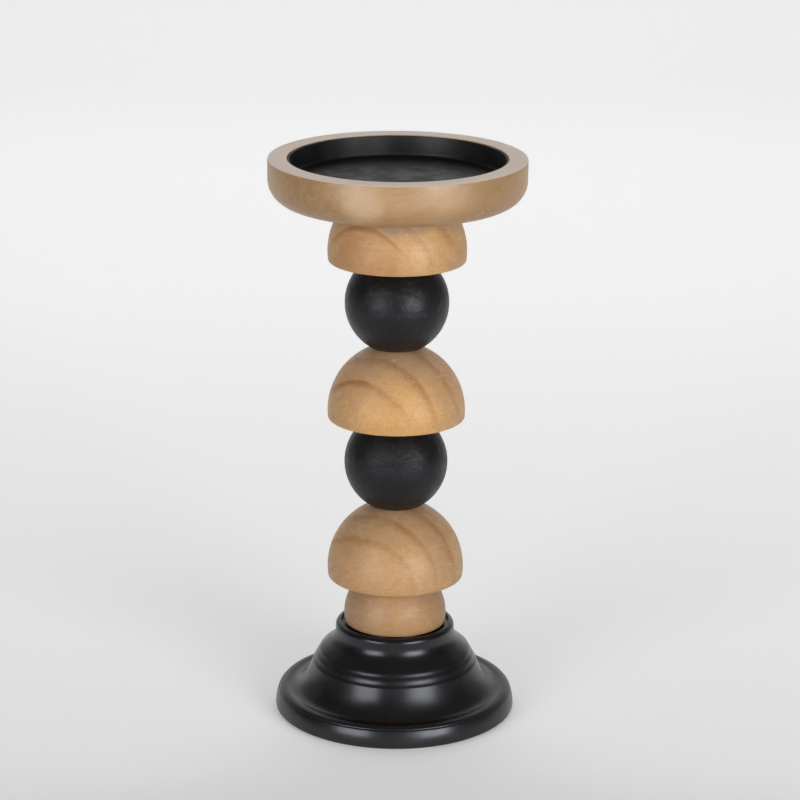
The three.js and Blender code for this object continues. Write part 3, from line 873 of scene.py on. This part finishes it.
def limed_wood():
    material, tree, shader = new_material("limed_wood")
    place = object_coordinate(tree)
    grain = grain_coordinate(tree, DISH_PITH, DISH_LEAN)
    ring = effect(tree, GROWTH_RINGS, grain, **DISH_RINGS)["Ring"]
    fibre = effect(tree, WOOD_FIBRE, grain, Fineness=800)
    cloud = effect(tree, CLOUDS, place, Size=30 * MM)["Cloud"]
    scuff = effect(tree, SCUFFS, place, Density=90)["Scuff"]
    flecks = effect(tree, SCUFFS, place, Density=210)["Scuff"]
    thin = effect(tree, PATCH, place, Centre=BROWN_PLACE, Size=28 * MM)["Patch"]
    dull = effect(tree, PATCH, place, Centre=DULL_PLACE, Size=30 * MM)["Patch"]
    chalky = effect(tree, PATCH, place, Centre=PALE_PLACE, Size=13 * MM)["Patch"]
    left_rub = effect(tree, PATCH, place, Centre=LEFT_SCUFFS, Size=11 * MM)["Patch"]
    right_rub = effect(tree, PATCH, place, Centre=RIGHT_SCUFFS, Size=10 * MM)["Patch"]
    speckle = spread(tree, noise(tree, place, SPECKLE_SCALE, 4)["Fac"], *SPECKLE)
    height = add(tree, "ShaderNodeSeparateXYZ", {0: place}).outputs["Z"]
    top = heights("candle_dish")[1]
    # painted sheen: the flat rim is painted paler, for the light it catches at a grazing angle
    rim_sheen = spread(tree, height, *(top - depth for depth in RIM_SHEEN_DEPTHS), 0.0, RIM_SHEEN_SHARE)
    # painted shade: the side is painted browner towards the bottom, under the rounded corner
    low = spread(tree, height, *(top - depth for depth in SHADED_LOW_DEPTHS), SHADED_LOW_SHARE, 0.0)

    blotchy = calculate(tree, "MULTIPLY", thin, speckle)
    uneven = total(tree, (cloud, 0.3), (ring, 0.2), (low, 1.0))
    brown = total(tree, (uneven, 1.0), (blotchy, 0.65), (dull, 0.4), (chalky, -0.45))
    wash = blend(tree, calculate(tree, "ADD", brown, 0.0, clamp=True), WASH_TAN, WASH_BROWN)
    streaked = blend(tree, 1.0, wash, ramp(tree, fibre["Fibre"], LIMED_TONES), "MULTIPLY")
    rubs = calculate(tree, "MULTIPLY", calculate(tree, "ADD", left_rub, right_rub), flecks)
    lime = total(tree, (fibre["Pores"], 0.2), (scuff, 0.12), (rubs, 0.9), (chalky, 0.25))
    limed = blend(tree, lime, streaked, LIME_PALE)
    tree.links.new(blend(tree, rim_sheen, limed, RIM_SHEEN_PALE), shader.inputs["Base Color"])
    tree.links.new(spread(tree, cloud, 0, 1, *WASH_GLOSS), shader.inputs["Roughness"])
    bump(tree, shader, fibre["Fibre"], strength=0.12, depth=0.1 * MM)
    return material


# %% Limed dish
DISH_RADIUS = 62.4 * MM
DISH_CORNER = 11.7 * MM
DISH_EDGE = 0.8 * MM
RIM_INNER_EDGE = 0.35 * MM
PAN_RECESS_RADIUS = 53.1 * MM
DISH_FLOOR = 10.2 * MM
DISH_POCKET_FLOOR = 3.9 * MM


def dish_outline():
    bottom, top = heights("candle_dish")
    floor, pocket = bottom + DISH_FLOOR, bottom + DISH_POCKET_FLOOR
    return eased([
        (BORE_RADIUS, bottom),
        (DISH_RADIUS, bottom, DISH_CORNER),
        (DISH_RADIUS, top, DISH_EDGE),
        (PAN_RECESS_RADIUS, top, RIM_INNER_EDGE),
        (PAN_RECESS_RADIUS, floor),
        (POCKET_RADIUS, floor, RIM_INNER_EDGE),
        (POCKET_RADIUS, pocket),
        (BORE_RADIUS, pocket),
    ])


turned("candle_dish_turned", "candle_dish", dish_outline(), limed_wood(), sides=256)

# %% [markdown]
# ## The steel pan
# The pan is pressed from thin steel sheet, with a rounded lip and a rounded corner, and coated
# with black enamel. Spinning it on a former leaves fine rings, and the enamel has settled into
# soft patches of more and less gloss. Solidify could thicken a bare shell, but one outline gives
# the lip, the corner and both sides of the wall at once.

# %% Steel pan
PAN_RADIUS = 52.8 * MM
PAN_WALL = 0.8 * MM
PAN_CORNER = 1.5 * MM
PAN_LIP = 0.35 * MM
ENAMEL_BLACK = (0.009, 0.009, 0.0095, 1)
ENAMEL_WORN = (0.03, 0.029, 0.03, 1)
ENAMEL_GLOSS = (0.36, 0.54)
ENAMEL_SCUFFED = 0.6


def black_enamel():
    material, tree, shader = new_material("black_enamel", Specular_IOR_Level=0.46)
    place = object_coordinate(tree)
    marks = effect(tree, TURNING_MARKS, place, Spacing=1.1 * MM)["Marks"]
    cloud = effect(tree, CLOUDS, place, Size=12 * MM)["Cloud"]
    scuff = effect(tree, SCUFFS, place, Density=70)["Scuff"]
    worn = calculate(tree, "MULTIPLY", scuff, ENAMEL_SCUFFED)
    tree.links.new(blend(tree, worn, ENAMEL_BLACK, ENAMEL_WORN), shader.inputs["Base Color"])
    tree.links.new(spread(tree, cloud, 0, 1, *ENAMEL_GLOSS), shader.inputs["Roughness"])
    bump(tree, shader, marks, strength=0.25, depth=0.1 * MM)
    return material


def pan_outline():
    bottom, top = heights("drip_pan")
    inner = PAN_RADIUS - PAN_WALL
    return eased([
        (0, bottom),
        (PAN_RADIUS, bottom, PAN_CORNER + PAN_WALL),
        (PAN_RADIUS, top, PAN_LIP),
        (inner, top, PAN_LIP),
        (inner, bottom + PAN_WALL, PAN_CORNER),
        (0, bottom + PAN_WALL),
    ])


turned("drip_pan_pressed", "drip_pan", pan_outline(), black_enamel(), sides=256, body="pan")

# %% [markdown]
# ## Felt ring
# Under the foot lies a ring of pressed felt, so that the holder doesn't scratch the table. Felt
# is a tangle of short hairs. Real hairs would be lost at this size, so fine rough noise lifts
# and lightens the surface, and sheen gives the soft edge that fuzz has.

# %% Felt ring
FELT_RADIUS = 51.5 * MM
FELT_HOLE = 13 * MM
FELT_EDGE = 0.5 * MM
FELT_GREY = (0.045, 0.045, 0.048, 1)
FELT_PALE = (0.12, 0.12, 0.125, 1)
TANGLE_SCALE, TANGLE_RANGE = 900, (0.4, 0.75)
LEAST_FUZZ = 0.3


def grey_felt():
    fuzz = {"Roughness": 0.95, "Sheen_Weight": 0.35, "Sheen_Roughness": 0.5}
    material, tree, shader = new_material("grey_felt", **fuzz)
    place = object_coordinate(tree)
    tangle = noise(tree, place, TANGLE_SCALE, 5, 0.7)["Fac"]
    cloud = effect(tree, CLOUDS, place, Size=6 * MM)["Cloud"]
    thick = calculate(tree, "ADD", cloud, LEAST_FUZZ)
    pale = calculate(tree, "MULTIPLY", spread(tree, tangle, *TANGLE_RANGE), thick)
    tree.links.new(blend(tree, pale, FELT_GREY, FELT_PALE), shader.inputs["Base Color"])
    bump(tree, shader, tangle, strength=0.8, depth=0.6 * MM)
    return material


def ring_outline(node, inner, outer, edge):
    bottom, top = heights(node)
    corners = [(outer, bottom, edge), (outer, top, edge), (inner, top, edge), (inner, bottom, edge)]
    middle = ((inner + outer) / 2, bottom)
    return eased([middle] + corners + [middle])[:-1]


felt_outline = ring_outline("felt_ring", FELT_HOLE, FELT_RADIUS, FELT_EDGE)
turned("felt_ring_pressed", "felt_ring", felt_outline, grey_felt())

# %% [markdown]
# ## Nuts and washers
# The hidden hardware is zinc-plated steel, which is bright with a faint spangle of duller
# crystals. The nuts and the spring washer keep their CAD shape and only get this finish. The
# flat washers are stamped, so they are turned again with a rounded edge.

# %% Zinc steel
ZINC = (0.5, 0.52, 0.54, 1)
ZINC_DULL = (0.36, 0.37, 0.38, 1)
SPANGLE_SCALE, FINE_SCALE = 700, 3000
SPANGLE_RANGE, ZINC_GLOSS = (0.35, 0.7), (0.28, 0.45)


def zinc_steel():
    material, tree, shader = new_material("zinc_steel", Metallic=1.0)
    place = object_coordinate(tree)
    spangle = noise(tree, place, SPANGLE_SCALE, 3)["Fac"]
    dull = spread(tree, spangle, *SPANGLE_RANGE)
    tree.links.new(blend(tree, dull, ZINC, ZINC_DULL), shader.inputs["Base Color"])
    tree.links.new(spread(tree, spangle, *MIDDLE_TONES, *ZINC_GLOSS), shader.inputs["Roughness"])
    bump(tree, shader, noise(tree, place, FINE_SCALE, 2)["Fac"], strength=0.1, depth=0.05 * MM)
    return material


ZINC_STEEL = zinc_steel()
for node in ("dish_nut", "foot_nut", "foot_lock_washer"):
    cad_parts[node].data.materials.clear()
    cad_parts[node].data.materials.append(ZINC_STEEL)
    print("zinc on", node)

# %% Washers
WASHER_BORE = 3.15 * MM
WASHER_RADIUS = 9 * MM
WASHER_EDGE = 0.25 * MM
for node in ("dish_washer", "foot_washer"):
    washer_outline = ring_outline(node, WASHER_BORE, WASHER_RADIUS, WASHER_EDGE)
    turned(node + "_stamped", node, washer_outline, ZINC_STEEL, sides=64)

# %% [markdown]
# ## Tie rod
# One rod, threaded from end to end, holds the stack together. A helix swept along a curve would
# make a separate ridge. A second node tree winds the thread into the rod's own wall instead: the
# radius follows height and angle together, rises and falls once in each pitch, and shrinks to a
# chamfer at the two ends. The first and last rows close the ends.

# %% The thread tree


def thread_tree():
    tree = bpy.data.node_groups.new("Thread", "GeometryNodeTree")
    inputs = [
        ("Mesh", "Geometry", None),
        ("Bottom", "Float", 0.0),
        ("Top", "Float", 0.1),
        ("Radius", "Float", 0.003),
        ("Pitch", "Float", 0.001),
        ("Depth", "Float", 0.0005),
        ("Chamfer", "Float", 0.0007),
        ("Sides", "Int", 20),
        ("Rows", "Int", 1000),
        ("Material", "Material", None),
    ]
    given, result = declare(tree, inputs, [("Thread", "Geometry")])
    size = given.outputs
    grid, row, turn = spun_grid(tree, size["Sides"], size["Rows"])
    steps = calculate(tree, "SUBTRACT", size["Rows"], 3)
    length = calculate(tree, "SUBTRACT", size["Top"], size["Bottom"])
    share = calculate(tree, "DIVIDE", calculate(tree, "SUBTRACT", row, 1), steps, clamp=True)
    climb = calculate(tree, "MULTIPLY", share, length)
    phase = calculate(tree, "SUBTRACT", calculate(tree, "DIVIDE", climb, size["Pitch"]), turn)
    groove = calculate(tree, "MULTIPLY", calculate(tree, "PINGPONG", phase, 0.5), 2)
    cut = calculate(tree, "MULTIPLY", groove, size["Depth"])
    crest = calculate(tree, "SUBTRACT", size["Radius"], cut)
    to_end = calculate(tree, "MINIMUM", climb, calculate(tree, "SUBTRACT", length, climb))
    taper = calculate(tree, "ADD", calculate(tree, "SUBTRACT", size["Radius"], size["Chamfer"]), to_end)
    radius = calculate(tree, "MINIMUM", crest, taper)
    not_first = calculate(tree, "GREATER_THAN", row, 0.5)
    not_last = calculate(tree, "LESS_THAN", row, calculate(tree, "SUBTRACT", size["Rows"], 1.5))
    wall = calculate(tree, "MULTIPLY", radius, calculate(tree, "MULTIPLY", not_first, not_last))
    height = calculate(tree, "ADD", size["Bottom"], climb)
    flat_place = add(tree, "ShaderNodeCombineXYZ", {"X": wall, "Z": height}).outputs[0]
    finished(tree, wrapped(tree, grid, flat_place, turn), size["Material"], result)
    return tree


# %% Tie rod
ROD_RADIUS = 3 * MM
PITCH = 1 * MM
THREAD_DEPTH = 0.55 * MM
ROWS_PER_TURN = 6


def tie_rod():
    bottom, top = heights("tie_rod")
    rod = bpy.data.objects.new("tie_rod_threaded", bpy.data.meshes.new("tie_rod_threaded"))
    bpy.context.scene.collection.objects.link(rod)
    rows = round((top - bottom) / PITCH * ROWS_PER_TURN) + 2
    thread = {"Radius": ROD_RADIUS, "Pitch": PITCH, "Depth": THREAD_DEPTH, "Rows": rows}
    baked(rod, thread_tree(), Bottom=bottom, Top=top, Material=ZINC_STEEL, **thread)
    stand_for(rod, "tie_rod")
    print("tie rod:", len(rod.data.polygons), "faces in", rows, "rows")


tie_rod()

# %% [markdown]
# ## Studio
# The holder stands on a pale paper sweep. The lamps could simply be turned up until the paper
# is white, but that would burn out the wood. So the paper adds a little light of its own, only
# where a camera ray or a reflection meets it, and keeps the shadow of the holder. Reflections
# get less of it from the sides, which keeps the flanks of the black pieces dark. Far from the
# holder the camera sees plain paper, without the bright pools under the lamps.

# %% Paper
PAPER_GREY = (0.8, 0.8, 0.8, 1)
PAPER_NEAR, PAPER_FAR = -0.2, 2.0
PAPER_GLOW = [(0, 0.06), (0.055, 0.2), (0.13, 0.27), (0.24, 0.32), (0.45, 0.395), (0.7, 0.42)]
MIRROR_FADE, SIDE_SHARE = (1.1, 2.2), 0.1
PLAIN_FADE, PLAIN_FRONT = (0.55, 0.95), 0.25
PLAIN_PAPER = (0.74, 0.74, 0.74, 1)
NO_COLOUR = (0, 0, 0, 1)


def paper():
    fixed = {"Roughness": 0.9, "Specular_IOR_Level": 0.1, "Emission_Color": (1, 1, 1, 1)}
    material, tree, shader = new_material("paper", **fixed)
    path = add(tree, "ShaderNodeLightPath").outputs
    place = add(tree, "ShaderNodeSeparateXYZ", {0: object_coordinate(tree)}).outputs
    aside = calculate(tree, "ABSOLUTE", place["X"])
    depth = calculate(tree, "ADD", place["Y"], place["Z"])
    distances = {"Value": depth, "From Min": PAPER_NEAR, "From Max": PAPER_FAR}
    glow = ramp(tree, add(tree, "ShaderNodeMapRange", distances).outputs[0], PAPER_GLOW)

    bounced = calculate(tree, "ADD", path["Is Glossy Ray"], path["Is Transmission Ray"])
    share = spread(tree, aside, *MIRROR_FADE, 1.0, SIDE_SHARE)
    mirrored = calculate(tree, "MULTIPLY", calculate(tree, "MULTIPLY", bounced, share), glow)
    in_front = calculate(tree, "SUBTRACT", PLAIN_FRONT, place["Y"])
    away = spread(tree, calculate(tree, "MAXIMUM", aside, in_front), *PLAIN_FADE)
    plain = calculate(tree, "MULTIPLY", path["Is Camera Ray"], away)
    seen = calculate(tree, "MULTIPLY", path["Is Camera Ray"], blend(tree, away, glow, PLAIN_PAPER))
    tree.links.new(blend(tree, plain, PAPER_GREY, NO_COLOUR), shader.inputs["Base Color"])
    tree.links.new(calculate(tree, "ADD", seen, mirrored), shader.inputs["Emission Strength"])
    return material


# %% Paper sweep
SWEEP_HALF_WIDTH = 9.0
SWEEP_FRONT = -9.0
SWEEP_BEND_START = 1.6
SWEEP_BEND = 0.8
SWEEP_TOP = 3.0
BEND_POINT_STEP = 80


def paper_sweep():
    bend = arc(SWEEP_BEND_START, SWEEP_BEND, SWEEP_BEND, -90, 0)[::BEND_POINT_STEP]
    side = [(SWEEP_FRONT, 0)] + bend + [(SWEEP_BEND_START + SWEEP_BEND, SWEEP_TOP)]
    points = [(x, y, z) for x in (-SWEEP_HALF_WIDTH, SWEEP_HALF_WIDTH) for y, z in side]
    count = len(side)
    faces = [(i, count + i, count + i + 1, i + 1) for i in range(count - 1)]
    mesh = bpy.data.meshes.new("paper_sweep")
    mesh.from_pydata(points, [], faces)
    mesh.polygons.foreach_set("use_smooth", [True] * len(faces))
    sweep = bpy.data.objects.new("paper_sweep", mesh)
    bpy.context.scene.collection.objects.link(sweep)
    mesh.materials.append(paper())
    print("paper sweep:", len(faces), "faces")


paper_sweep()

# %% [markdown]
# ## Light
# Two large softboxes stand in front, one on each side and a little above the holder. They
# leave two wide soft highlights on every black piece, where small lamps would leave hard white
# dots. A wide panel behind lights the tops and the paper, and draws a soft shadow to the front.
# Reflections don't show the panel, as it would leave a white stripe on the black shoulders.

# %% Softboxes
AIM = Vector((0, 0, 0.14))


def softbox(name, azimuth, elevation, distance, width, height, watts):
    """A rectangular lamp seen from the holder at an azimuth right of the camera, in degrees."""
    a, e = math.radians(azimuth), math.radians(elevation)
    direction = Vector((math.sin(a) * math.cos(e), -math.cos(a) * math.cos(e), math.sin(e)))
    lamp = bpy.data.lights.new(name, "AREA")
    lamp.shape, lamp.size, lamp.size_y, lamp.energy = "RECTANGLE", width, height, watts
    obj = bpy.data.objects.new(name, lamp)
    obj.location = AIM + direction * distance
    obj.rotation_euler = direction.to_track_quat("Z", "Y").to_euler()
    bpy.context.scene.collection.objects.link(obj)
    print(f"{name}: {watts} W at {distance} m")
    return obj


FRONT_LAMP = {"elevation": 11, "distance": 1.5, "width": 0.8, "height": 0.65}
softbox("right_softbox", azimuth=37, watts=13.7, **FRONT_LAMP)
softbox("left_softbox", azimuth=-39, watts=9.4, **FRONT_LAMP)
back_panel = softbox("back_panel", 180, elevation=50, distance=2.0, width=2.4, height=1.4, watts=17.0)
back_panel.visible_glossy = False

# %% [markdown]
# ### The room
# The rest of the studio is a dim world that gives the black pieces something to mirror. It is
# darker overhead and at the sides. To the camera alone it is pale, for views that look past the
# edge of the paper.

# %% Room light
ROOM_HORIZON, ROOM_CEILING = 0.5, 0.1
ROOM_SIDES = 0.15
ROOM_SEEN = 0.8
CEILING_FADE, SIDE_FADE = (0.05, 0.6), (0.6, 0.9)


def room_light():
    world = bpy.data.worlds.new("studio")
    world.use_nodes = True
    tree = world.node_tree
    background = tree.nodes["Background"].inputs
    direction = add(tree, "ShaderNodeTexCoord").outputs["Generated"]
    towards = add(tree, "ShaderNodeSeparateXYZ", {0: direction}).outputs
    dimmed = spread(tree, towards["Z"], *CEILING_FADE, ROOM_HORIZON, ROOM_CEILING)
    aside = calculate(tree, "ABSOLUTE", towards["X"])
    room = calculate(tree, "MULTIPLY", dimmed, spread(tree, aside, *SIDE_FADE, 1.0, ROOM_SIDES))
    camera_ray = add(tree, "ShaderNodeLightPath").outputs["Is Camera Ray"]
    seen = calculate(tree, "MULTIPLY", camera_ray, ROOM_SEEN)
    tree.links.new(calculate(tree, "MAXIMUM", room, seen), background["Strength"])
    background["Color"].default_value = (1, 1, 1, 1)
    bpy.context.scene.world = world
    bpy.context.scene.view_settings.view_transform = "Standard"
    print("room light:", ROOM_HORIZON, "at the horizon,", ROOM_CEILING, "overhead")


room_light()

# %% [markdown]
# ## Camera
# A long lens from a little above, as in a catalogue picture. Its height, distance and tilt
# come from the ellipses that the rim and the foot make in the picture. An orthographic view would
# be simpler, but it would show both ellipses in the same shape, and the foot's is rounder.

# %% Camera
CAMERA_PLACE = (0.0018, -1.3451, 0.5761)
CAMERA_DOWN = 17.18
CAMERA_ROLL = 0.4
CAMERA_LENS = 129.35
SENSOR_WIDTH = 36


def place_camera():
    data = bpy.data.cameras.new("camera")
    data.lens, data.sensor_width = CAMERA_LENS, SENSOR_WIDTH
    camera = bpy.data.objects.new("camera", data)
    tilt = Euler((math.radians(90 - CAMERA_DOWN), 0, 0)).to_matrix()
    roll = Matrix.Rotation(math.radians(CAMERA_ROLL), 3, "Z")
    camera.location = CAMERA_PLACE
    camera.rotation_euler = (tilt @ roll).to_euler()
    bpy.context.scene.collection.objects.link(camera)
    bpy.context.scene.camera = camera
    print("camera:", CAMERA_LENS, "mm lens, looking down", CAMERA_DOWN, "degrees")


place_camera()
